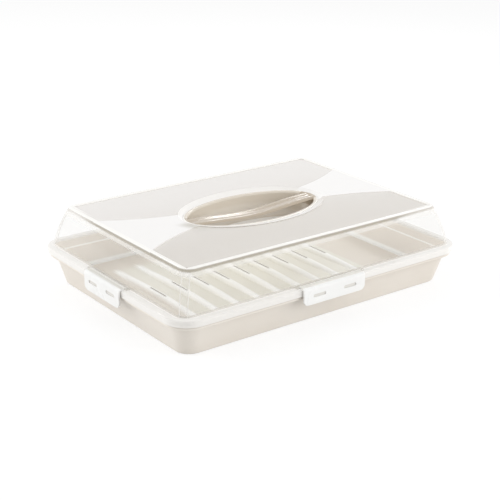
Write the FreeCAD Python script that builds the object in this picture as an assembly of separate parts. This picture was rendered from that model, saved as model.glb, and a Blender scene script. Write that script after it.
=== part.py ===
import FreeCAD, Part
import math
import os

# A rectangular food carrier: a drafted tray, a loose ribbed plate on its floor, a clear domed lid
# with an oval sunk handle, and four clips that swing on the lid's flange and close under the tray's lip.
# Millimetres, +Z up. The origin is the centre of the tray's foot; X is the long side, the front is at -Y.
# A margin is a distance drawn in from the edge of the lid's rim, the widest outline of the object.

V = FreeCAD.Vector

# Outline of the closed carrier
rim_length = 450.0
rim_width = 330.0
rim_radius = 32.0

# Tray
tray_height = 50.0
tray_foot_margin = 20.0
tray_top_margin = 6.6
tray_foot_radius = 20.0
tray_wall = 2.0
tray_floor = 2.0
tray_foot_round = 3.0
lip_margin = 3.0
lip_drop = 6.4
lip_height = 4.4
ledge_drop = 11.0
ledge_depth = 0.9

# Ribbed plate
plate_gap = 4.0
plate_height = 11.3
plate_thickness = 1.7
plate_lift = 0.3
plate_radius = 14.0
plate_edge_round = 1.2
rib_count = 9
rib_pitch = 32.6
rib_shift = -16.3
rib_length = 222.0
rib_width = 15.0
rib_height = 4.6
rib_point = 0.06
rib_steps = 6
groove_width = 2.4
groove_depth = 3.6
groove_length = 36.0

# Lid
seat_gap = 0.3
flange_thickness = 2.1
skirt_height = 8.6
skirt_wall = 1.9
rim_round = 1.8
dome_height = 51.6
dome_foot_margin = 9.6
dome_crown_margin = 26.0
dome_bow = 2.2
dome_foot_radius = 16.0
dome_crown_radius = 16.0
dome_wall = 1.8
crown_round = 5.5
panel_step = 0.8
panel_frame = 3.2
fan_half_width = 85.0
fan_throat = 24.0
fan_waist = 45.0
dish_depth = 4.0
dish_long_run = 5.0
dish_wide_run = 12.0
dish_gap = 0.4

# Oval handle
oval_length = 196.0
oval_width = 102.4
oval_seat = 1.5
bezel_width = 3.4
bezel_height = 1.4
cup_clearance = 0.25
cup_wall = 2.0
cup_depth = 30.0
cup_floor_share = 0.52
flare_radius = 3.0
grip_width = 27.0
grip_thickness = 5.5
grip_sag = 5.6
grip_drop = 0.4
grip_groove = 1.1
grip_steps = 10
snap_height = 1.2
snap_reach = 0.9

# Clips
clip_long_width = 97.0
clip_short_width = 81.0
clip_thickness = 2.2
clip_reach = 1.2
clip_long_drop = 20.0
clip_short_drop = 22.5
clip_corner = 7.0
clip_shoulder = 3.6
clip_lift = 0.3
clip_sink = 1.0
hook_height = 2.8
hook_clearance = 0.4
slot_length = 20.0
slot_height = 4.2
slot_depth = 1.1
slot_drop = 11.6
slot_share = 0.5
barrel_radius = 1.6
barrel_margin = 6.4
pin_radius = 1.1
pin_length = 3.2
pin_clearance = 0.05
lug_width = 4.6
lug_wall = 1.1
side_clearance = 0.3

# Levels and slopes that follow from the sizes above
lip_top = tray_height - lip_drop
lip_bottom = lip_top - lip_height
flange_bottom = tray_height + seat_gap
flange_top = flange_bottom + flange_thickness
skirt_bottom = flange_top - skirt_height
lid_top = flange_top + dome_height
tray_slope = (tray_foot_margin - tray_top_margin) / tray_height
dome_slope = (dome_crown_margin - dome_foot_margin) / dome_height
tray_wall_level = tray_wall * math.hypot(1.0, tray_slope)
dome_wall_level = dome_wall * math.hypot(1.0, dome_slope)
plate_bottom = tray_floor + plate_lift
plate_top = plate_bottom + plate_height
shelf_level = lid_top - dish_depth
bezel_top = shelf_level + bezel_height
dish_foot_x = oval_length / 2 + bezel_width + dish_gap
dish_foot_y = oval_width / 2 + bezel_width + dish_gap
pocket_level = flange_top - clip_sink
barrel_level = pocket_level + clip_lift + barrel_radius


def tray_margin(z):
    return tray_foot_margin - tray_slope * z


# The dome's side bows outwards: a parabola through its foot, its crown and the bow halfway up
def dome_margin(z):
    t = (z - flange_top) / dome_height
    return dome_foot_margin + (dome_crown_margin - dome_foot_margin) * t - 4 * dome_bow * t * (1 - t)


# A rounded rectangle drawn in from the rim's edge, at height z
def outline(margin, radius, z):
    x = rim_length / 2 - margin
    y = rim_width / 2 - margin
    k = radius * math.sqrt(0.5)
    edges = []
    corners = [(1, 1, 0), (-1, 1, 1), (-1, -1, 2), (1, -1, 3)]
    arcs = []
    for sx, sy, turn in corners:
        centre = V(sx * (x - radius), sy * (y - radius), z)
        along_x = centre + V(sx * radius, 0, 0)
        along_y = centre + V(0, sy * radius, 0)
        middle = centre + V(sx * k, sy * k, 0)
        first, last = (along_x, along_y) if turn % 2 == 0 else (along_y, along_x)
        arcs.append((first, middle, last))
    for i, (first, middle, last) in enumerate(arcs):
        edges.append(Part.Arc(first, middle, last).toShape())
        edges.append(Part.makeLine(last, arcs[(i + 1) % 4][0]))
    return Part.Wire(edges)


# A solid between two outlines, each given as margin, corner radius and height
def frustum(low, high):
    return Part.makeLoft([outline(*low), outline(*high)], True, True)


# A smooth solid through a foot, a waist and a crown outline
def bowed(low, waist, high):
    return Part.makeLoft([outline(*low), outline(*waist), outline(*high)], True, False)


def prism(margin, radius, z_low, z_high):
    return frustum((margin, radius, z_low), (margin, radius, z_high))


def ellipse_wire(half_x, half_y, z):
    curve = Part.Ellipse(V(0, 0, z), half_x, half_y)
    return Part.Wire([curve.toShape()])


def ellipse_prism(half_x, half_y, z_low, z_high):
    face = Part.Face(ellipse_wire(half_x, half_y, z_low))
    return face.extrude(V(0, 0, z_high - z_low))


# The edges of a solid that lie flat at height z
def level_edges(shape, z):
    found = []
    for edge in shape.Edges:
        box = edge.BoundBox
        if abs(box.ZMin - z) < 1e-6 and abs(box.ZMax - z) < 1e-6:
            found.append(edge)
    return found


def rounded_edges(shape, z, radius):
    return shape.makeFillet(radius, level_edges(shape, z))


def polygon(points):
    return Part.Wire(Part.makePolygon(points + [points[0]]).Edges)


# Tray: a drafted pan with a rounded foot, an outer lip for the clips and an inner ledge below its rim
def make_tray():
    top_radius = rim_radius - tray_top_margin
    ledge = tray_height - ledge_drop
    outer = frustum((tray_foot_margin, tray_foot_radius, 0), (tray_top_margin, top_radius, tray_height))
    outer = rounded_edges(outer, 0, tray_foot_round)
    lip = prism(lip_margin, rim_radius - lip_margin, lip_bottom, lip_top)
    floor_margin = tray_margin(tray_floor) + tray_wall_level
    inner_top_margin = tray_top_margin + tray_wall_level
    floor_radius = tray_foot_radius - tray_wall
    inner_top_radius = top_radius - tray_wall
    inner_top = (inner_top_margin, inner_top_radius, tray_height)
    inner = frustum((floor_margin, floor_radius, tray_floor), inner_top)
    inner = rounded_edges(inner, tray_floor, tray_foot_round)
    ledge_margin = tray_margin(ledge) + tray_wall_level - ledge_depth
    upper_margin = inner_top_margin - ledge_depth
    ledge_radius = inner_top_radius + ledge_depth
    upper = frustum((ledge_margin, ledge_radius, ledge), (upper_margin, ledge_radius, tray_height))
    return outer.fuse(lip).cut(inner.fuse(upper)).removeSplitter()


# One rib: a low rounded ridge along Y whose ends narrow to points
def make_rib(x):
    root = plate_top - plate_thickness / 2
    sections = []
    for i in range(rib_steps + 1):
        t = 2 * i / rib_steps - 1
        swell = rib_point + (1 - rib_point) * (1 - t * t)
        y = t * rib_length / 2
        half = swell * rib_width / 2
        crest = plate_top + swell * rib_height
        arc = Part.Arc(V(x - half, y, root), V(x, y, crest), V(x + half, y, root)).toShape()
        sections.append(Part.Wire([arc, Part.makeLine(V(x + half, y, root), V(x - half, y, root))]))
    return Part.makeLoft(sections, True, False)


# Plate: a flat cover with a low rim to stand on, and a field of grooved ribs left of its middle
def make_plate():
    margin = tray_margin(plate_bottom) + tray_wall_level + plate_gap
    outer = prism(margin, plate_radius, plate_bottom, plate_top)
    outer = rounded_edges(outer, plate_top, plate_edge_round)
    under_margin = margin + plate_thickness
    under_radius = plate_radius - plate_thickness
    under = prism(under_margin, under_radius, plate_bottom, plate_top - plate_thickness)
    plate = outer.cut(under)
    first = rib_shift - rib_pitch * (rib_count - 1) / 2
    for i in range(rib_count):
        x = first + i * rib_pitch
        plate = plate.fuse(make_rib(x))
    for i in range(rib_count):
        x = first + i * rib_pitch
        groove_bottom = plate_top + rib_height - groove_depth
        groove_start = V(x - groove_width / 2, -groove_length / 2, groove_bottom)
        groove = Part.makeBox(groove_width, groove_length, groove_depth + rib_height, groove_start)
        plate = plate.cut(groove)
    return plate.removeSplitter()


# The fan at one end of the lid's top: from the oval's tip it spreads to the middle of the short edge
def fan_face(side, z):
    throat = side * (oval_length / 2 - oval_seat)
    edge = side * rim_length / 2
    waist = (throat + edge) / 2
    edges = []
    for y in (-1, 1):
        start = V(throat, y * fan_throat, z)
        middle = V(waist, y * fan_waist, z)
        end = V(edge, y * fan_half_width, z)
        edges.append(Part.Arc(start, middle, end).toShape())
    edges.append(Part.makeLine(V(edge, -fan_half_width, z), V(edge, fan_half_width, z)))
    edges.append(Part.makeLine(V(throat, -fan_throat, z), V(throat, fan_throat, z)))
    return Part.Face(Part.Wire(Part.sortEdges(edges)[0]))


# The two long panels of the lid's top, as flat faces at height z, between the frame, fans and oval seat
def panel_faces(z, inset):
    margin = dome_crown_margin + crown_round + panel_frame + inset
    field = Part.Face(outline(margin, dome_crown_radius + dome_crown_margin - margin, z))
    seat_x = dish_foot_x + dish_long_run + oval_seat + inset
    seat_y = dish_foot_y + dish_wide_run + oval_seat + inset
    seat = Part.Face(ellipse_wire(seat_x, seat_y, z))
    return field.cut(seat).cut(fan_face(-1, z)).cut(fan_face(1, z))


# The oval dish in the lid's top, sloping down to the handle's shelf; here grown, dropped and run past its top
def dish_body(grow, drop, past):
    share = 1 + past / dish_depth
    top_x = dish_foot_x + dish_long_run * share + grow
    top_y = dish_foot_y + dish_wide_run * share + grow
    low = ellipse_wire(dish_foot_x + grow, dish_foot_y + grow, shelf_level - drop)
    high = ellipse_wire(top_x, top_y, lid_top + past - drop)
    return Part.makeLoft([low, high], True, True)


# Lid: skirt and flange, a bowed dome, sunk top panels, the oval dish, and the pockets and lugs of the clips
def make_lid():
    waist_level = flange_top + dome_height / 2
    waist_radius = (dome_foot_radius + dome_crown_radius) / 2
    foot = (dome_foot_margin, dome_foot_radius, flange_top)
    waist = (dome_margin(waist_level), waist_radius, waist_level)
    crown = (dome_crown_margin, dome_crown_radius, lid_top)
    rim = prism(0, rim_radius, skirt_bottom, flange_top)
    rim = rounded_edges(rim, flange_top, rim_round)
    under_rim = prism(skirt_wall, rim_radius - skirt_wall, skirt_bottom, flange_bottom)
    dome = rounded_edges(bowed(foot, waist, crown), lid_top, crown_round)
    ceiling = lid_top - dome_wall
    mouth = (dome_margin(flange_bottom) + dome_wall_level, dome_foot_radius - dome_wall, flange_bottom)
    inner_waist = (dome_margin(waist_level) + dome_wall_level, waist_radius - dome_wall, waist_level)
    inner_crown = (dome_margin(ceiling) + dome_wall_level, dome_crown_radius - dome_wall, ceiling)
    hollow = rounded_edges(bowed(mouth, inner_waist, inner_crown), ceiling, crown_round - dome_wall)
    lid = rim.cut(under_rim).fuse(dome).cut(hollow)
    lid = lid.fuse(panel_faces(ceiling, 0).extrude(V(0, 0, -panel_step)))
    lid = lid.cut(panel_faces(lid_top, 0).extrude(V(0, 0, -panel_step)))
    lid = lid.fuse(dish_body(oval_seat / 2, dome_wall, dome_wall / 4)).cut(dish_body(0, 0, dome_wall))
    lid = lid.cut(ellipse_prism(oval_length / 2, oval_width / 2, shelf_level - 2 * dome_wall, lid_top))
    for width, drop, place in clip_places():
        lid = lid.cut(make_pocket(width).transformed(place.toMatrix()))
        for lug in make_lugs(width):
            lid = lid.fuse(lug.transformed(place.toMatrix()))
        for hole in make_lug_holes(width):
            lid = lid.cut(hole.transformed(place.toMatrix()))
    return lid.removeSplitter()


# Handle: a bezel on the oval seat, a cup through the opening and a sagging grip across it
def make_handle():
    half_x = oval_length / 2 - cup_clearance
    half_y = oval_width / 2 - cup_clearance
    bezel = ellipse_prism(half_x + bezel_width, half_y + bezel_width, shelf_level, bezel_top)
    bezel = rounded_edges(bezel, bezel_top, bezel_height / 2)
    cup = cup_body(half_x, half_y, bezel_top, cup_depth)
    hollow = cup_body(half_x - cup_wall, half_y - cup_wall, bezel_top, cup_depth - cup_wall)
    hollow = hollow.fuse(flare_body(half_x - cup_wall, half_y - cup_wall, bezel_top))
    snap_level = shelf_level - dome_wall - cup_clearance
    snap = ellipse_prism(half_x + snap_reach, half_y + snap_reach, snap_level - snap_height, snap_level)
    sink = cup_wall / 4
    grip = make_grip(half_x).common(cup_body(half_x - sink, half_y - sink, bezel_top, cup_depth - sink))
    return bezel.fuse(cup).fuse(snap).cut(hollow).fuse(grip).removeSplitter()


# An oval cup body whose sides curve in towards a smaller flat floor
def cup_body(half_x, half_y, top, depth):
    straight = bezel_height + dome_wall + cup_clearance + snap_height
    wires = [ellipse_wire(half_x, half_y, top - straight)]
    steps = 5
    for i in range(1, steps + 1):
        turn = math.pi / 2 * i / steps
        draw = (1 - math.cos(turn)) * (1 - cup_floor_share)
        level = top - straight - (depth + bezel_height - straight) * math.sin(turn)
        wires.append(ellipse_wire(half_x * (1 - draw * 0.5), half_y * (1 - draw), level))
    lower = Part.makeLoft(wires, True, False)
    return lower.fuse(ellipse_prism(half_x, half_y, top - straight, top)).removeSplitter()


# The rounded mouth of the cup: a quarter round from the bezel's top down to the cup's wall
def flare_body(half_x, half_y, top):
    steps = 4
    wires = []
    for i in range(steps + 1):
        turn = math.pi / 2 * i / steps
        spread = flare_radius * (1 - math.sin(turn))
        level = top - flare_radius * (1 - math.cos(turn))
        wires.append(ellipse_wire(half_x + spread, half_y + spread, level))
    return Part.makeLoft(wires, True, False)


# Grip: a bar with two crowns and a groove between them, level at its ends and hanging low in the middle
def make_grip(half_x):
    half = grip_width / 2
    wires = []
    for i in range(grip_steps + 1):
        t = 2 * i / grip_steps - 1
        x = t * half_x
        crest = bezel_top - grip_drop - grip_sag * (1 + math.cos(math.pi * t)) / 2
        shoulder = crest - grip_thickness * 0.45
        slope = crest - grip_groove * 0.3
        points = [V(x, -half, shoulder), V(x, -half * 0.72, slope), V(x, -half * 0.45, crest)]
        points += [V(x, 0, crest - grip_groove)]
        points += [V(x, half * 0.45, crest), V(x, half * 0.72, slope), V(x, half, shoulder)]
        top = Part.BSplineCurve()
        top.interpolate(points)
        low = Part.Arc(points[-1], V(x, 0, crest - grip_thickness), points[0]).toShape()
        wires.append(Part.Wire([top.toShape(), low]))
    return Part.makeLoft(wires, True, False)


# Clip places: local x runs along the rim, local y points outwards from the rim's edge, z is up
def clip_places():
    front = FreeCAD.Placement(V(0, -rim_width / 2, 0), FreeCAD.Rotation(V(0, 0, 1), 180))
    back = FreeCAD.Placement(V(0, rim_width / 2, 0), FreeCAD.Rotation(V(0, 0, 1), 0))
    left = FreeCAD.Placement(V(-rim_length / 2, 0, 0), FreeCAD.Rotation(V(0, 0, 1), 90))
    right = FreeCAD.Placement(V(rim_length / 2, 0, 0), FreeCAD.Rotation(V(0, 0, 1), -90))
    long_side = (clip_long_width, clip_long_drop)
    short_side = (clip_short_width, clip_short_drop)
    return [(*long_side, front), (*long_side, back), (*short_side, left), (*short_side, right)]


# The pocket in the flange that takes the top leg and barrel of a clip
def make_pocket(width):
    length = width + 2 * side_clearance
    depth = barrel_margin + barrel_radius + side_clearance
    return Part.makeBox(length, depth + clip_reach, 2 * clip_sink, V(-length / 2, -depth, pocket_level))


# Lugs: a block at each end of a clip's barrel, standing on the flange against the dome
def make_lugs(width):
    reach = pin_radius + pin_clearance + lug_wall
    depth = dome_margin(barrel_level + reach) + dome_wall_level / 2 - barrel_margin
    lugs = []
    for side in (-1, 1):
        x = side * (width / 2 + side_clearance + lug_width / 2)
        block = Part.makeBox(lug_width, depth, barrel_level - flange_bottom,
                             V(x - lug_width / 2, -barrel_margin - depth, flange_bottom))
        web = Part.makeBox(lug_width, reach, barrel_level - flange_bottom,
                           V(x - lug_width / 2, -barrel_margin, flange_bottom))
        cap_x = V(x - lug_width / 2, -barrel_margin, barrel_level)
        cap = Part.makeCylinder(reach, lug_width, cap_x, V(1, 0, 0))
        lugs.append(block.fuse(web).fuse(cap).removeSplitter())
    return lugs


def make_lug_holes(width):
    radius = pin_radius + pin_clearance
    depth = pin_length + 2 * side_clearance
    holes = []
    for side in (-1, 1):
        mouth = V(side * width / 2, -barrel_margin, barrel_level)
        holes.append(Part.makeCylinder(radius, depth, mouth, V(side, 0, 0)))
    return holes


# Clip: barrel and pins, a top leg over the flange and a front leg with a hook and two slots
def make_clip(width, drop):
    half = width / 2
    under = pocket_level + clip_lift
    top = under + clip_thickness
    inner = clip_reach
    outer = clip_reach + clip_thickness
    bottom = under - drop
    profile = [V(-half, -barrel_margin, under), V(-half, inner, under), V(-half, inner, bottom)]
    profile += [V(-half, outer, bottom), V(-half, outer, top), V(-half, -barrel_margin, top)]
    clip = Part.Face(polygon(profile)).extrude(V(width, 0, 0))
    shoulder = []
    for edge in level_edges(clip, top):
        if edge.BoundBox.XLength > width / 2 and edge.BoundBox.YMin > inner:
            shoulder.append(edge)
    clip = clip.makeFillet(clip_shoulder, shoulder)
    corners = []
    for edge in level_edges(clip, bottom):
        if edge.BoundBox.XLength < clip_thickness / 2:
            corners.append(edge)
    clip = clip.makeFillet(clip_corner, corners)
    hook_top = lip_bottom - side_clearance
    hook_tip = -lip_margin + hook_clearance
    hook_start = -half + clip_corner
    hook = [V(hook_start, inner, hook_top), V(hook_start, hook_tip, hook_top)]
    hook_bottom = hook_top - hook_height
    hook += [V(hook_start, hook_tip, hook_top - hook_height / 3), V(hook_start, inner, hook_bottom)]
    clip = clip.fuse(Part.Face(polygon(hook)).extrude(V(width - 2 * clip_corner, 0, 0)))
    along = V(1, 0, 0)
    barrel_start = V(-half, -barrel_margin, barrel_level)
    pin_start = V(-half - pin_length, -barrel_margin, barrel_level)
    clip = clip.fuse(Part.makeCylinder(barrel_radius, width, barrel_start, along))
    clip = clip.fuse(Part.makeCylinder(pin_radius, width + 2 * pin_length, pin_start, along))
    for side in (-1, 1):
        x = side * half * slot_share
        clip = clip.cut(make_slot(x, top - slot_drop, outer - slot_depth))
    return clip.removeSplitter()


# A level blind slot with round ends in the front leg's outer face, from depth y outwards
def make_slot(x, z, y):
    r = slot_height / 2
    run = slot_length / 2 - r
    deep = 2 * slot_depth
    body = Part.makeBox(2 * run, deep, slot_height, V(x - run, y, z - r))
    for side in (-1, 1):
        body = body.fuse(Part.makeCylinder(r, deep, V(x + side * run, y, z), V(0, 1, 0)))
    return body


def make_clips():
    names = ["clip_front", "clip_back", "clip_left", "clip_right"]
    clips = {}
    for name, (width, drop, place) in zip(names, clip_places()):
        clips[name] = make_clip(width, drop).transformed(place.toMatrix())
    return clips


pieces = {"base_tray": make_tray(), "ribbed_plate": make_plate()}
pieces.update({"lid_shell": make_lid(), "oval_handle": make_handle()})
pieces.update(make_clips())

os.makedirs("parts", exist_ok=True)
for name, shape in pieces.items():
    solids = shape.Solids
    volume = round(shape.Volume / 1000, 2)
    print(name, "solids", len(solids), "valid", shape.isValid(), "volume", volume, "cm3")
    solid = solids[0] if len(solids) == 1 else shape
    solid.exportStep("parts/" + name + ".step")
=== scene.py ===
import bpy
import math
from mathutils import Matrix, Vector

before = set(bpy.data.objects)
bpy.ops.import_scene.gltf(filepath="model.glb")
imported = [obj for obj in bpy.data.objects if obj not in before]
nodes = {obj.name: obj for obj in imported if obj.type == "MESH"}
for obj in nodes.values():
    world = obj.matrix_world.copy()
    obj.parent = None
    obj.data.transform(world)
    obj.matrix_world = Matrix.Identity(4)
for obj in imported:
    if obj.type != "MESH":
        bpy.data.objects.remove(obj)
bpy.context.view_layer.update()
print("frame loaded:", ", ".join(sorted(nodes)))


# half length, half width and top level, in metres, of a piece that stands centred in the frame
def reachOf(name):
    corners = [Vector(corner) for corner in nodes[name].bound_box]
    return [max(corner[axis] for corner in corners) for axis in range(3)]


rimLong, rimWide, crown = reachOf("lid_shell")
plateLong, plateWide = reachOf("ribbed_plate")[:2]
trayTop = reachOf("base_tray")[2]


# shader maths: a Value wraps a number socket, and arithmetic on it adds Math nodes
class Value:
    def __init__(self, paint, socket):
        self.paint = paint
        self.socket = socket

    def math(self, operation, *inputs):
        made = self.paint.node("ShaderNodeMath", {"operation": operation}, dict(enumerate(inputs)))
        return Value(self.paint, made.outputs[0])

    def __add__(self, other):
        return self.math("ADD", self, other)

    def __radd__(self, other):
        return self.math("ADD", other, self)

    def __sub__(self, other):
        return self.math("SUBTRACT", self, other)

    def __rsub__(self, other):
        return self.math("SUBTRACT", other, self)

    def __mul__(self, other):
        return self.math("MULTIPLY", self, other)

    def __rmul__(self, other):
        return self.math("MULTIPLY", other, self)

    def __truediv__(self, other):
        return self.math("DIVIDE", self, other)

    def __rtruediv__(self, other):
        return self.math("DIVIDE", other, self)

    def __pow__(self, other):
        return self.math("POWER", self, other)

    def __abs__(self):
        return self.math("ABSOLUTE", self)

    def atLeast(self, other):
        return self.math("MAXIMUM", self, other)

    def atMost(self, other):
        return self.math("MINIMUM", self, other)

    def wrap(self, low, high):
        return self.math("WRAP", self, high, low)

    # 0 up to low, 1 from high, smooth between
    def rise(self, low, high):
        steps = {"interpolation_type": "SMOOTHSTEP"}
        sockets = {"Value": self, "From Min": low, "From Max": high}
        made = self.paint.node("ShaderNodeMapRange", steps, sockets)
        return Value(self.paint, made.outputs["Result"])

    # 1 from low to high, 0 elsewhere
    def band(self, low, high, soft):
        return self.rise(low - soft, low + soft) - self.rise(high - soft, high + soft)


# one material or world: node() adds any node, setting its options first and then its sockets
class Paint:
    def __init__(self, owner):
        owner.use_nodes = True
        self.owner = owner
        self.tree = owner.node_tree
        self.tree.nodes.clear()

    def node(self, kind, options=None, sockets=None):
        made = self.tree.nodes.new(kind)
        for key, value in (options or {}).items():
            setattr(made, key, value)
        for key, value in (sockets or {}).items():
            self.feed(made.inputs[key], value)
        return made

    def feed(self, socket, value):
        if isinstance(value, Value):
            self.tree.links.new(value.socket, socket)
        elif isinstance(value, bpy.types.NodeSocket):
            self.tree.links.new(value, socket)
        elif isinstance(value, bpy.types.Node):
            self.tree.links.new(value.outputs[0], socket)
        elif isinstance(value, tuple) and len(value) == 3 and socket.type == "RGBA":
            socket.default_value = (*value, 1.0)
        else:
            socket.default_value = value

    def value(self, made, output):
        return Value(self, made.outputs[output])

    def place(self):
        coords = self.node("ShaderNodeTexCoord").outputs["Object"]
        split = self.node("ShaderNodeSeparateXYZ", None, {0: coords})
        return coords, self.value(split, "X"), self.value(split, "Y"), self.value(split, "Z")

    def noise(self, coords, scale, detail):
        sockets = {"Vector": coords, "Scale": scale, "Detail": detail}
        return self.value(self.node("ShaderNodeTexNoise", None, sockets), "Fac")

    def blend(self, factor, first, second):
        made = self.node("ShaderNodeMix", {"data_type": "RGBA"}, {"Factor": factor, 6: first, 7: second})
        return made.outputs[2]

    def bump(self, height, strength, distance):
        sockets = {"Strength": strength, "Distance": distance, "Height": height}
        return self.node("ShaderNodeBump", None, sockets).outputs["Normal"]

    # 1 for any of the named kinds of ray
    def rays(self, first, *others):
        light = self.node("ShaderNodeLightPath")
        found = self.value(light, first)
        for kind in others:
            found = found.atLeast(self.value(light, kind))
        return found

    def mixShader(self, factor, first, second):
        return self.node("ShaderNodeMixShader", None, {0: factor, 1: first, 2: second})

    def done(self, shader, output="ShaderNodeOutputMaterial"):
        self.node(output, None, {"Surface": shader})
        return self.owner


def srgb(red, green, blue):
    return tuple((v / 12.92 if v <= 0.04045 else ((v + 0.055) / 1.055) ** 2.4) for v in (red, green, blue))


white = (1.0, 1.0, 1.0)


# how deep a point lies inside a rectangle with rounded corners, seen from above
def depthInside(x, y, halfLength, halfWidth, radius):
    pastX = (abs(x) - (halfLength - radius)).atLeast(0)
    pastY = (abs(y) - (halfWidth - radius)).atLeast(0)
    return radius - (pastX ** 2 + pastY ** 2) ** 0.5


# 1 on an oval round the middle, less inside it and more outside
def ovalRatio(x, y, halfLength, halfWidth):
    return (x / halfLength) ** 2 + (y / halfWidth) ** 2


# what the opaque mouldings share; in the looks below lengths are in metres, a Band is a low end,
# a high end and a softness, and any other pair is where a change starts and ends
plasticLook = {
    "ior": 1.49,
    "coatRough": 0.11,
    "grainDetail": 2.0,
    "smearDetail": 3.0,
}


# a new material with its coordinates, and soft clouds between a lighter and a deeper colour
def startPlastic(name, look):
    paint = Paint(bpy.data.materials.new(name))
    coords, x, y, z = paint.place()
    cloud = paint.noise(coords, look["cloudScale"], look["cloudDetail"])
    colour = paint.blend(cloud.rise(*look["cloudRun"]), look["light"], look["deep"])
    return paint, coords, x, y, z, colour


# smooth moulded plastic: a fine grain and uneven gloss
def mouldedPlastic(paint, look, colour, coords, more=None):
    grain = paint.noise(coords, look["grainScale"], plasticLook["grainDetail"])
    smear = paint.noise(coords, look["smearScale"], plasticLook["smearDetail"])
    sockets = {
        "Base Color": colour,
        "Roughness": look["roughLow"] + (look["roughHigh"] - look["roughLow"]) * smear,
        "IOR": plasticLook["ior"],
        "Coat Weight": look["coat"],
        "Coat Roughness": plasticLook["coatRough"],
        "Normal": paint.bump(grain, look["grainBump"], look["grainDepth"]),
    }
    return paint.node("ShaderNodeBsdfPrincipled", None, {**sockets, **(more or {})})


# tray: cream, with painted shade lines at its lip's top and underside, a touch paler inside as painted
# light, and white painted light round the plate and on the ledge against the shade there
trayLook = {
    "light": srgb(0.905, 0.880, 0.846),
    "deep": srgb(0.893, 0.864, 0.826),
    "inner": srgb(0.909, 0.882, 0.846),
    "hollow": srgb(0.985, 0.980, 0.965),
    # colour of the painted shade lines at the lip
    "line": srgb(0.60, 0.56, 0.50),
    "lipDrop": 0.0064,  # drops are from the tray's top
    "lipHeight": 0.0044,
    "ledgeDrop": 0.0110,
    "gapBand": (-0.0022, 0.0006, 0.0004),  # from the lip's top
    "gapShade": 0.42,
    "underBand": (-0.0012, -0.0001, 0.0003),  # from the lip's underside
    "underShade": 0.40,
    "ledgeBand": (-0.0007, 0.0007, 0.0003),
    "besideRun": (0.0140, 0.0170),  # up from the foot
    "skinRun": (0.0003, 0.0009),  # depth in the wall
    "footMargin": 0.0200,  # margins are from the rim
    "topMargin": 0.0066,
    "footRadius": 0.0200,
    "topRadius": 0.0254,
    "cloudScale": 7.0,
    "cloudDetail": 4.0,
    "cloudRun": (0.35, 0.65),
    "smearScale": 40.0,
    "grainScale": 900.0,
    "grainBump": 0.12,
    "grainDepth": 0.00002,
    "roughLow": 0.26,
    "roughHigh": 0.36,
    "coat": 0.0,
}


def trayPlastic(name, look):
    paint, coords, x, y, z, colour = startPlastic(name, look)
    lipTop = trayTop - look["lipDrop"]
    gap = (z - lipTop).band(*look["gapBand"])
    under = (z - (lipTop - look["lipHeight"])).band(*look["underBand"])
    # painted shade: dark lines in the gap under the lid's skirt, at the lip's top, and under the lip
    colour = paint.blend(gap * look["gapShade"] + under * look["underShade"], colour, look["line"])
    climb = z / trayTop
    margin = look["footMargin"] + (look["topMargin"] - look["footMargin"]) * climb
    radius = look["footRadius"] + (look["topRadius"] - look["footRadius"]) * climb
    inside = depthInside(x, y, rimLong - margin, rimWide - margin, radius).rise(*look["skinRun"])
    # painted light: the inside faces take a paler cream than the outside
    colour = paint.blend(inside, colour, look["inner"])
    # painted light: white on the inside beside the plate and on the ledge, where the gap and the ledge show
    # shade
    beside = 1 - z.rise(*look["besideRun"])
    ledge = (z - (trayTop - look["ledgeDrop"])).band(*look["ledgeBand"])
    colour = paint.blend(inside * beside.atLeast(ledge), colour, look["hollow"])
    return paint.done(mouldedPlastic(paint, look, colour, coords))


# plate: the same plastic, olive in the valleys, with painted highlights on the rib crests and the edge, and
# painted shade in the slits
plateLook = {
    "light": srgb(0.878, 0.848, 0.803),
    "deep": srgb(0.862, 0.829, 0.782),
    "valley": srgb(0.896, 0.884, 0.838),
    "crest": srgb(0.990, 0.988, 0.980),
    "slit": srgb(0.80, 0.78, 0.74),
    "ribCount": 9,
    "ribPitch": 0.0326,
    "ribShift": -0.0163,
    "ribEnds": (0.0888, 0.1110),
    "fieldSoft": 0.0005,
    "crestRun": (0.0020, 0.0084),  # sideways from a rib's middle
    "slitRun": (0.0011, 0.0014),
    "slitEnds": (0.0179, 0.0181),
    "edgeRun": (0.0016, 0.0030),  # inwards from the plate's edge
    "radius": 0.0140,
    "cloudScale": 6.0,
    "cloudDetail": 3.0,
    "cloudRun": (0.35, 0.65),
    "smearScale": 30.0,
    "grainScale": 900.0,
    "grainBump": 0.12,
    "grainDepth": 0.00002,
    "roughLow": 0.26,
    "roughHigh": 0.32,
    "coat": 0.0,
}


def platePlastic(name, look):
    paint, coords, x, y, z, colour = startPlastic(name, look)
    half = look["ribPitch"] / 2
    first = look["ribShift"] - half * (look["ribCount"] - 1)
    last = look["ribShift"] + half * (look["ribCount"] - 1)
    field = x.band(first - half, last + half, look["fieldSoft"])
    ribbed = (1 - abs(y).rise(*look["ribEnds"])) * field
    leftEnd = x.rise(first - half, first + half)
    colour = paint.blend(ribbed * leftEnd, colour, look["valley"])
    off = abs((x - first).wrap(-half, half))
    # painted highlight along each rib's crest
    crest = (1 - off.rise(*look["crestRun"])) * ribbed
    colour = paint.blend(crest, colour, look["crest"])
    # painted highlight along the plate's edge
    edge = 1 - depthInside(x, y, plateLong, plateWide, look["radius"]).rise(*look["edgeRun"])
    colour = paint.blend(edge, colour, look["crest"])
    # painted shade in the slits along the ribs
    slit = (1 - off.rise(*look["slitRun"])) * (1 - abs(y).rise(*look["slitEnds"])) * field
    colour = paint.blend(slit, colour, look["slit"])
    return paint.done(mouldedPlastic(paint, look, colour, coords))
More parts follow.
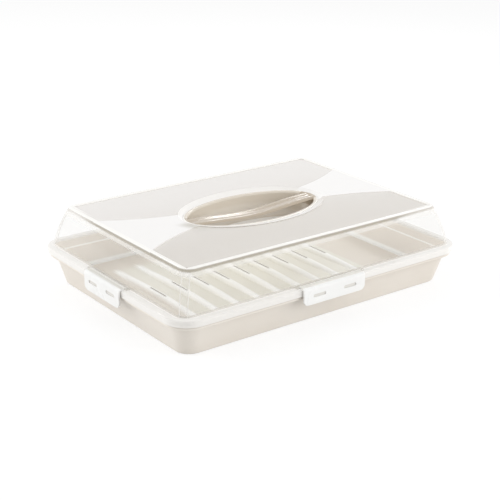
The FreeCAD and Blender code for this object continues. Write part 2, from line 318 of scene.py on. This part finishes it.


# handle: polished tan plastic, deeper on the grip, with a painted highlight on the bezel's edge and a
# painted reflection on the cup's floor
handleLook = {
    "light": srgb(0.862, 0.826, 0.770),
    "deep": srgb(0.842, 0.804, 0.744),
    "grip": srgb(0.728, 0.672, 0.594),
    # colour of the painted highlight and the painted reflection
    "white": srgb(0.975, 0.968, 0.950),
    "gripRun": (0.0140, 0.0150),  # sideways from the grip's middle
    "gripLevel": (-0.0170, -0.0160),  # levels are from the crown
    "edgeLong": 0.1003,
    "edgeWide": 0.0536,
    "edgeRun": (0.990, 1.006),  # 1 is on the oval
    "floorLong": 0.0745,
    "floorWide": 0.0290,
    "floorRun": (0.96, 1.04),
    "floorLevel": (-0.0272, -0.0268),
    "cloudScale": 14.0,
    "cloudDetail": 4.0,
    "cloudRun": (0.35, 0.65),
    "smearScale": 50.0,
    "grainScale": 500.0,
    "grainBump": 0.12,
    "grainDepth": 0.00001,
    "roughLow": 0.17,
    "roughHigh": 0.23,
    "coat": 0.5,
}


def handlePlastic(name, look):
    paint, coords, x, y, z, colour = startPlastic(name, look)
    level = z - crown
    grip = (1 - abs(y).rise(*look["gripRun"])) * level.rise(*look["gripLevel"])
    colour = paint.blend(grip, colour, look["grip"])
    # painted highlight along the bezel's edge and painted reflection on the cup's floor, in white
    edge = ovalRatio(x, y, look["edgeLong"], look["edgeWide"]).rise(*look["edgeRun"])
    floor = 1 - ovalRatio(x, y, look["floorLong"], look["floorWide"]).rise(*look["floorRun"])
    floor = floor * (1 - level.rise(*look["floorLevel"]))
    colour = paint.blend(edge.atLeast(floor), colour, look["white"])
    return paint.done(mouldedPlastic(paint, look, colour, coords))


# lid: clear walls, milky top with white fans, whiter rim, painted shade on the top's front half, the dish's
# front half, the outlines and the oval's front-left end, and painted light and shade lines where thick
# plastic bends the light
# each Milk is the share of what lies behind that is hidden, seen straight on
lidLook = {
    "tint": srgb(0.998, 0.998, 0.997),
    "milk": srgb(0.946, 0.937, 0.923),
    "fanWhite": srgb(0.968, 0.962, 0.956),
    "panelFront": srgb(0.848, 0.827, 0.800),
    "panelBack": srgb(0.914, 0.900, 0.886),
    # painted shade at the front of the oval's left end
    "dip": srgb(0.805, 0.788, 0.752),
    # colours of the painted shade line and the painted highlight on the crown's edge
    "edge": srgb(0.66, 0.63, 0.57),
    "shine": srgb(0.990, 0.985, 0.970),
    "outline": srgb(0.800, 0.795, 0.780),
    "wallMilk": 0.012,
    "topMilk": 0.42,
    "fanMilk": 0.70,
    "rimMilk": 0.62,
    "dishMilk": 0.72,
    "dipMilk": 0.16,
    "cornerMilk": 0.08,
    "seamMilk": 0.40,
    "edgeMilk": 0.34,
    "underMilk": 0.20,
    "footMilk": 0.45,
    "shineMilk": 0.60,
    "mostMilk": 0.95,
    "domeHeight": 0.0516,
    "footMargin": 0.0096,  # margins are from the rim
    "crownMargin": 0.0260,
    "bow": 0.0022,
    "domeRadius": 0.0160,
    "crownRound": 0.0056,
    "topLevel": (-0.0035, -0.0029),  # levels are from the crown
    "rimLevel": (0.0, 0.0008),  # from the dome's foot
    "fanInner": 0.0965,
    "fanThroat": 0.0240,
    "fanWaist": 0.0450,
    "fanHalfWidth": 0.0850,
    "fanSoft": 0.0009,
    "fanStart": 0.0040,
    "dishLong": 0.1068,
    "dishWide": 0.0670,
    "dishRun": (0.985, 1.015),  # 1 is on the oval
    "dishLevel": (-0.0120, -0.0100),
    "dishHalves": (-0.0040, 0.0040),
    "dipRun": (1.10, 1.45),
    "dipAlong": (-0.1080, -0.0850),
    "dipBack": (-0.0160, 0.0),
    "panelRun": (-0.1200, 0.1200),
    "cornerRun": (-0.0004, 0.0004),
    "cornerHalf": (0.0067, 0.0071),
    "seamHalf": 0.0069,
    "seamSoft": 0.0014,
    "crownRun": (0.0, 0.0004),
    "acrossSlope": 1.57,  # the painted shade lines fade from the near left to the far right
    "edgeBand": (-0.0043, -0.0014, 0.0004),
    "edgeAcross": (-0.1200, -0.0300),
    "edgeFade": 0.75,
    "edgeShade": 0.90,
    "underBand": (-0.0090, -0.0043, 0.0004),
    "footBand": (0.0006, 0.0022, 0.0004),  # from the dome's foot
    "footAcross": (-0.0600, 0.0),
    "footFade": 0.85,
    "footShade": 0.54,
    "shineBand": (-0.0009, 0.0002, 0.0004),
    "borderRun": (-0.0034, -0.0032),
    "borderLevel": (-0.0006, -0.0004),
    "borderAcross": (-0.0800, 0.0400),
    "outlineSlant": (0.80, 0.97),  # 0 seen straight on, 1 edge on
    "slantLimit": 1.04,
    "mirror": 0.04,
    "mirrorPower": 5,
    "milkRough": 0.5,
    "milkIor": 1.2,
    "roughLow": 0.03,
    "roughHigh": 0.10,
    "dishRough": 0.40,
    "smearScale": 40.0,
    "smearDetail": 4.0,
    "waveScale": 11.0,
    "waveDetail": 2.0,
    "waveBump": 0.25,
    "waveDepth": 0.0004,
}


# the circle through three points, as centre and radius
def circleThrough(a, b, c):
    ax, ay = a
    bx, by = b
    cx, cy = c
    d = 2 * (ax * (by - cy) + bx * (cy - ay) + cx * (ay - by))
    aa = ax * ax + ay * ay
    bb = bx * bx + by * by
    cc = cx * cx + cy * cy
    ux = (aa * (by - cy) + bb * (cy - ay) + cc * (ay - by)) / d
    uy = (aa * (cx - bx) + bb * (ax - cx) + cc * (bx - ax)) / d
    return ux, uy, math.hypot(ax - ux, ay - uy)


# the lid's zones, each 1 inside and 0 outside
def lidZones(look, x, y, z):
    side = abs(x)
    level = z - crown
    throat = (look["fanInner"], look["fanThroat"])
    waist = ((look["fanInner"] + rimLong) / 2, look["fanWaist"])
    middleX, middleY, radius = circleThrough(throat, waist, (rimLong, look["fanHalfWidth"]))
    away = ((side - middleX) ** 2 + (abs(y) - middleY) ** 2) ** 0.5
    fan = away.rise(radius - look["fanSoft"], radius + look["fanSoft"])
    oval = ovalRatio(x, y, look["dishLong"], look["dishWide"])
    # painted shade at the front of the oval's left end
    dip = (1 - oval.rise(*look["dipRun"])) * (1 - x.rise(*look["dipAlong"]))
    return {
        "top": level.rise(*look["topLevel"]),
        "rim": 1 - (level + look["domeHeight"]).rise(*look["rimLevel"]),
        "fan": fan * side.rise(look["fanInner"] - look["fanStart"], look["fanInner"]),
        "dish": (1 - oval.rise(*look["dishRun"])) * level.rise(*look["dishLevel"]),
        "dip": dip * (1 - y.rise(*look["dipBack"])),
    }


# the lid's lines of painted light and shade: painted reflections in the dome corners and along their seams,
# a painted shade line on the crown's edge with a painted highlight above it and a pale painted band below
# it, a painted shade line at the dome's foot, and a painted highlight on the top's border
def lidLines(look, x, y, z, zones):
    side = abs(x)
    reach = abs(y)
    level = z - crown
    height = level + look["domeHeight"]
    climb = height / look["domeHeight"]
    margin = look["footMargin"] + (look["crownMargin"] - look["footMargin"]) * climb
    margin = margin - 4 * look["bow"] * climb * (1 - climb)  # the walls bow outwards
    pastX = side - (rimLong - margin - look["domeRadius"])
    pastY = reach - (rimWide - margin - look["domeRadius"])
    wall = (1 - zones["top"]) * (1 - zones["rim"]) * (1 - zones["dish"])
    turning = pastX.atMost(pastY).rise(*look["cornerRun"]) * wall
    skew = abs(pastX - pastY)
    beyondX = side - (rimLong - look["crownMargin"] - look["crownRound"])
    beyondY = reach - (rimWide - look["crownMargin"] - look["crownRound"])
    beyond = beyondX.atLeast(beyondY)
    outside = beyond.rise(*look["crownRun"])
    across = x + look["acrossSlope"] * y
    edge = level.band(*look["edgeBand"]) * outside
    foot = height.band(*look["footBand"])
    shine = level.band(*look["shineBand"]) * outside
    border = beyond.rise(*look["borderRun"]) * level.rise(*look["borderLevel"])
    return {
        "corner": turning * (1 - skew.rise(*look["cornerHalf"])),
        "seam": turning * (1 - abs(skew - look["seamHalf"]).rise(0.0, look["seamSoft"])),
        "edge": edge * (1 - look["edgeFade"] * across.rise(*look["edgeAcross"])),
        "under": level.band(*look["underBand"]) * (1 - zones["dish"]),
        "foot": foot * (1 - look["footFade"] * across.rise(*look["footAcross"])),
        "shine": shine.atLeast(border * across.rise(*look["borderAcross"])),
    }


def lidMilk(look, zones, lines):
    top = zones["top"]
    dish = zones["dish"]
    milk = look["wallMilk"] + (look["topMilk"] - look["wallMilk"]) * top
    milk = milk + (look["fanMilk"] - look["topMilk"]) * (top * zones["fan"])
    milk = milk + (look["rimMilk"] - look["wallMilk"]) * zones["rim"]
    # each painted light or shade line adds its own haze
    for name, line in lines.items():
        milk = milk + look[name + "Milk"] * line
    milk = milk + look["dipMilk"] * zones["dip"] * top
    return milk.atMost(look["mostMilk"]) * (1 - dish) + look["dishMilk"] * dish


def lidColour(paint, look, y, zones, lines):
    # painted shade: the top's front half darker than its back half
    colour = paint.blend(y.rise(*look["panelRun"]), look["panelFront"], look["panelBack"])
    # painted light: the dish's back half milk white, while its front half keeps the front panel's painted
    # shade
    colour = paint.blend(zones["dish"] * y.rise(*look["dishHalves"]), colour, look["milk"])
    colour = paint.blend(zones["fan"], colour, look["fanWhite"])
    # painted shade at the front of the oval's left end
    colour = paint.blend(zones["dip"], colour, look["dip"])
    colour = paint.blend(zones["top"].atLeast(zones["dish"]), look["milk"], colour)
    # painted shade on the crown's edge and at the dome's foot, then the painted highlight
    dark = lines["edge"] * look["edgeShade"] + lines["foot"] * look["footShade"]
    colour = paint.blend(dark, colour, look["edge"])
    return paint.blend(lines["shine"], colour, look["shine"])


# a thin clear sheet under haze and gloss; shadow and diffuse rays pass it
def clearPlastic(name, look):
    paint = Paint(bpy.data.materials.new(name))
    coords, x, y, z = paint.place()
    zones = lidZones(look, x, y, z)
    lines = lidLines(look, x, y, z, zones)
    slant = paint.value(paint.node("ShaderNodeLayerWeight"), "Facing")
    colour = lidColour(paint, look, y, zones, lines)
    # painted shade where the lid is seen edge on
    colour = paint.blend(slant.rise(*look["outlineSlant"]) * (1 - zones["rim"]), colour, look["outline"])
    path = 1 / (look["slantLimit"] - slant)  # a slanting ray passes more plastic
    haze = 1 - (1 - lidMilk(look, zones, lines)) ** path
    wave = paint.noise(coords, look["waveScale"], look["waveDetail"])
    smear = paint.noise(coords, look["smearScale"], look["smearDetail"])
    rough = look["roughLow"] + (look["roughHigh"] - look["roughLow"]) * smear
    rough = rough + look["dishRough"] * zones["dish"]
    seen = paint.node("ShaderNodeBsdfTransparent", None, {"Color": look["tint"]})
    milky = paint.node("ShaderNodeBsdfPrincipled", None, {
        "Base Color": colour, "Roughness": look["milkRough"], "IOR": look["milkIor"]})
    gloss = paint.node("ShaderNodeBsdfGlossy", None, {
        "Color": white, "Roughness": rough,
        "Normal": paint.bump(wave, look["waveBump"], look["waveDepth"])})
    mirror = look["mirror"] + (1 - look["mirror"]) * slant ** look["mirrorPower"]
    body = paint.mixShader(mirror, paint.mixShader(haze, seen, milky), gloss)
    return paint.done(paint.mixShader(paint.rays("Is Shadow Ray", "Is Diffuse Ray"), body, seen))


# clips: milky white plastic, a little see-through, with painted shade in the slots and greyer on the legs
clipLook = {
    "light": srgb(0.985, 0.985, 0.980),
    "deep": srgb(0.972, 0.972, 0.966),
    "slot": srgb(0.90, 0.89, 0.87),
    "leg": srgb(0.900, 0.890, 0.865),
    "slotBand": (0.0019, 0.0027, 0.0001),  # outwards from the rim
    "slotLevelBand": (-0.0101, -0.0053, 0.0001),  # levels are from the tray's top
    "legBand": (-0.0068, 0.0, 0.0004),
    "legLevel": (0.0033, 0.0035),
    "clear": 0.08,
    "glowWeight": 0.15,
    "glowRadius": (0.003, 0.003, 0.003),
    "cloudScale": 22.0,
    "cloudDetail": 3.0,
    "cloudRun": (0.30, 0.70),
    "smearScale": 22.0,
    "grainScale": 1100.0,
    "grainBump": 0.10,
    "grainDepth": 0.00001,
    "roughLow": 0.24,
    "roughHigh": 0.32,
    "coat": 0.0,
}


def milkyPlastic(name, look):
    paint, coords, x, y, z, colour = startPlastic(name, look)
    outward = (abs(y) - rimWide).atLeast(abs(x) - rimLong)
    level = z - trayTop
    # painted shade in the slots' floors
    slot = outward.band(*look["slotBand"]) * level.band(*look["slotLevelBand"])
    colour = paint.blend(slot, colour, look["slot"])
    leg = outward.band(*look["legBand"]) * level.rise(*look["legLevel"])
    colour = paint.blend(leg, colour, look["leg"])
    glow = {"Subsurface Weight": look["glowWeight"], "Subsurface Radius": look["glowRadius"]}
    body = mouldedPlastic(paint, look, colour, coords, glow)
    seen = paint.node("ShaderNodeBsdfTransparent", None, {"Color": white})
    return paint.done(paint.mixShader(look["clear"], body, seen))


def dress(names, material):
    for name in names:
        mesh = nodes[name].data
        mesh.materials.clear()
        mesh.materials.append(material)


dress(["base_tray"], trayPlastic("trayPlastic", trayLook))
dress(["ribbed_plate"], platePlastic("platePlastic", plateLook))
dress(["oval_handle"], handlePlastic("handlePlastic", handleLook))
dress(["lid_shell"], clearPlastic("clearPlastic", lidLook))
dress(["clip_front", "clip_back", "clip_left", "clip_right"], milkyPlastic("milkyPlastic", clipLook))
print("materials on", len(nodes), "nodes")


# the rays that see the white background
backdropRays = ("Is Camera Ray", "Is Glossy Ray", "Is Transmission Ray")

# floor: white, keeps the shadow of the carrier
floorLook = {"size": 14.0, "bounce": (0.82, 0.82, 0.81), "shade": (0.34, 0.34, 0.34), "lift": 0.70}


def makeFloor(look):
    paint = Paint(bpy.data.materials.new("floorWhite"))
    bounce = paint.node("ShaderNodeBsdfDiffuse", None, {"Color": look["bounce"]})
    shade = paint.node("ShaderNodeBsdfDiffuse", None, {"Color": look["shade"]})
    glow = paint.node("ShaderNodeEmission", None, {"Color": white, "Strength": look["lift"]})
    both = paint.node("ShaderNodeAddShader", None, {0: shade, 1: glow})
    surface = paint.done(paint.mixShader(paint.rays(*backdropRays), bounce, both))
    half = look["size"] / 2
    mesh = bpy.data.meshes.new("floor")
    corners = [(-half, -half, 0), (half, -half, 0), (half, half, 0), (-half, half, 0)]
    mesh.from_pydata(corners, [], [(0, 1, 2, 3)])
    mesh.materials.append(surface)
    floor = bpy.data.objects.new("floor", mesh)
    bpy.context.scene.collection.objects.link(floor)


makeFloor(floorLook)


# light: an even white room with soft panels
worldLook = {"room": 0.70, "shown": 1.0}


def makeWorld(look):
    paint = Paint(bpy.data.worlds.new("studio"))
    room = paint.node("ShaderNodeBackground", None, {"Color": white, "Strength": look["room"]})
    shown = paint.node("ShaderNodeBackground", None, {"Color": white, "Strength": look["shown"]})
    sky = paint.mixShader(paint.rays(*backdropRays), room, shown)
    bpy.context.scene.world = paint.done(sky, "ShaderNodeOutputWorld")


makeWorld(worldLook)

# the sparks are small panels that show as streaks on the glossy pieces
panels = [
    {"name": "leftPanel", "at": (-1.6, 1.25, 0.80), "size": (2.2, 1.4), "power": 23.0, "mirrored": False},
    {"name": "rightPanel", "at": (1.35, -1.65, 0.80), "size": (2.2, 1.4), "power": 25.0, "mirrored": False},
    {"name": "rightSpark", "at": (1.31, 1.15, 1.07), "size": (0.50, 0.12), "power": 2.0, "mirrored": True},
    {"name": "backSpark", "at": (0.0, 1.48, 1.42), "size": (0.50, 0.12), "power": 1.0, "mirrored": True},
]
panelAim = (0.0, 0.0, 0.08)


def makePanel(look):
    light = bpy.data.lights.new(look["name"], "AREA")
    light.shape = "RECTANGLE"
    light.size, light.size_y = look["size"]
    light.energy = look["power"]
    lamp = bpy.data.objects.new(look["name"], light)
    bpy.context.scene.collection.objects.link(lamp)
    lamp.location = look["at"]
    aim = Vector(panelAim) - Vector(look["at"])
    lamp.rotation_euler = aim.to_track_quat("-Z", "Y").to_euler()
    lamp.visible_camera = False
    lamp.visible_glossy = look["mirrored"]


for panel in panels:
    makePanel(panel)
print("studio ready")

# camera: angles in degrees, lens and sensor in millimetres
cameraLook = {
    "eye": (-0.8906, -1.1663, 0.5983),
    "turn": 37.289,
    "dip": 20.765,
    "roll": 0.637,
    "lens": 85.63,
    "sensor": 36.0,
    "near": 0.01,
    "far": 50.0,
}


def makeCamera(look):
    turn, dip, roll = (math.radians(look[key]) for key in ("turn", "dip", "roll"))
    forward = Vector((math.sin(turn) * math.cos(dip), math.cos(turn) * math.cos(dip), -math.sin(dip)))
    level = forward.cross(Vector((0, 0, 1))).normalized()
    rise = level.cross(forward)
    right = level * math.cos(roll) + rise * math.sin(roll)
    up = rise * math.cos(roll) - level * math.sin(roll)
    data = bpy.data.cameras.new("photoCamera")
    data.sensor_width = look["sensor"]
    data.lens = look["lens"]
    data.clip_start = look["near"]
    data.clip_end = look["far"]
    camera = bpy.data.objects.new("photoCamera", data)
    bpy.context.scene.collection.objects.link(camera)
    rotation = Matrix((right, up, -forward)).transposed().to_4x4()
    camera.matrix_world = Matrix.Translation(Vector(look["eye"])) @ rotation
    bpy.context.scene.camera = camera


makeCamera(cameraLook)
bpy.context.scene.view_settings.view_transform = "Standard"
print("camera set")
